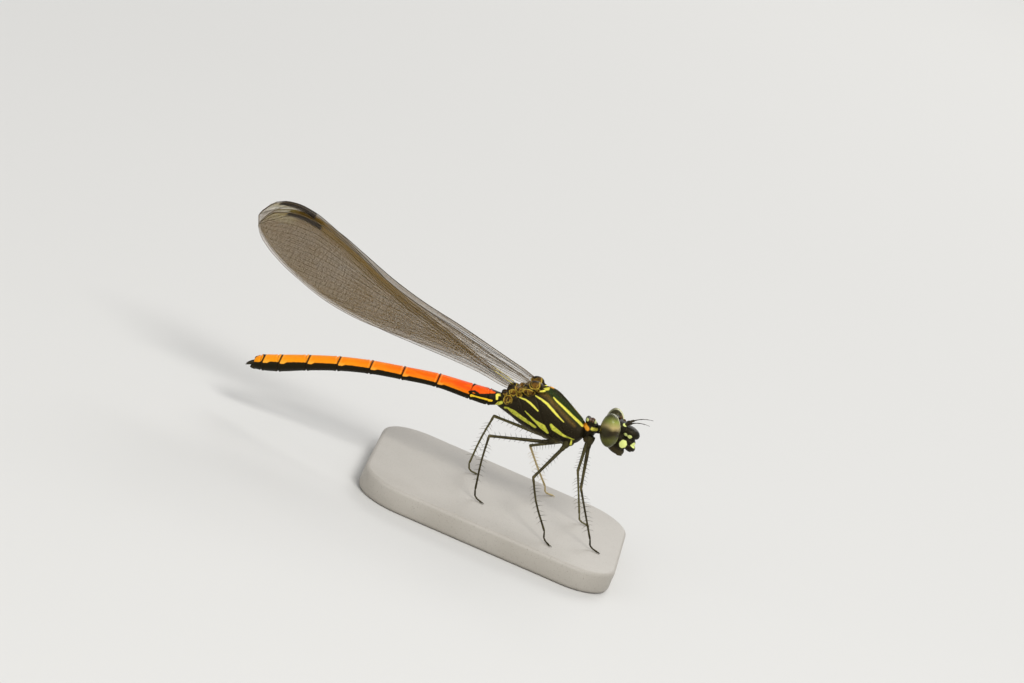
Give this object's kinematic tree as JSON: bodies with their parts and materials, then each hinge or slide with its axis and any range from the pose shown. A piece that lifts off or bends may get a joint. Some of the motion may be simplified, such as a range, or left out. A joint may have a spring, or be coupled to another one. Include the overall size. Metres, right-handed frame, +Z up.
{
  "type": "damselfly model",
  "caption": "Life-size still model of a jewel damselfly at rest, wings closed over an orange abdomen, standing on a small flat display base.",
  "frame": {"origin": "centre of the underside of the display base", "axes": "+Z up, +X towards the animal's head, +Y to the animal's left"},
  "size_m": [0.0398, 0.019, 0.0188],
  "materials": {
    "body": "black cuticle with a faint green metal sheen and yellow stripes",
    "eye": "glossy dark olive brown with fine facets",
    "wing": "thin smoky brown membrane, translucent, with dark veins",
    "abdomen": "orange back over black sides, thin dark rings at the joints",
    "leg": "dark brown-black, satin, with fine bristles",
    "base": "pale, smooth, matt"
  },
  "bodies": {
    "root": {"stand_base": "base", "head": "body", "neck": "body", "prothorax": "body", "thorax": "body", "eye_right": "eye", "antenna_right": "leg", "wing_fore_right": "wing", "wing_hind_right": "wing", "cercus_right": "body", "leg_front_right_thigh": "leg", "leg_front_right_shin": "leg", "leg_middle_right_thigh": "leg", "leg_middle_right_shin": "leg", "leg_hind_right_thigh": "leg", "leg_hind_right_shin": "leg", "eye_left": "eye", "antenna_left": "leg", "wing_fore_left": "wing", "wing_hind_left": "wing", "cercus_left": "body", "leg_front_left_thigh": "leg", "leg_front_left_shin": "leg", "leg_middle_left_thigh": "leg", "leg_middle_left_shin": "leg", "leg_hind_left_thigh": "leg", "leg_hind_left_shin": "leg", "abdomen_1": "abdomen", "abdomen_2": "abdomen", "abdomen_3": "abdomen", "abdomen_4": "abdomen", "abdomen_5": "abdomen", "abdomen_6": "abdomen", "abdomen_7": "abdomen", "abdomen_8": "abdomen", "abdomen_9": "abdomen", "abdomen_10": "abdomen"}
  },
  "joints": []
}
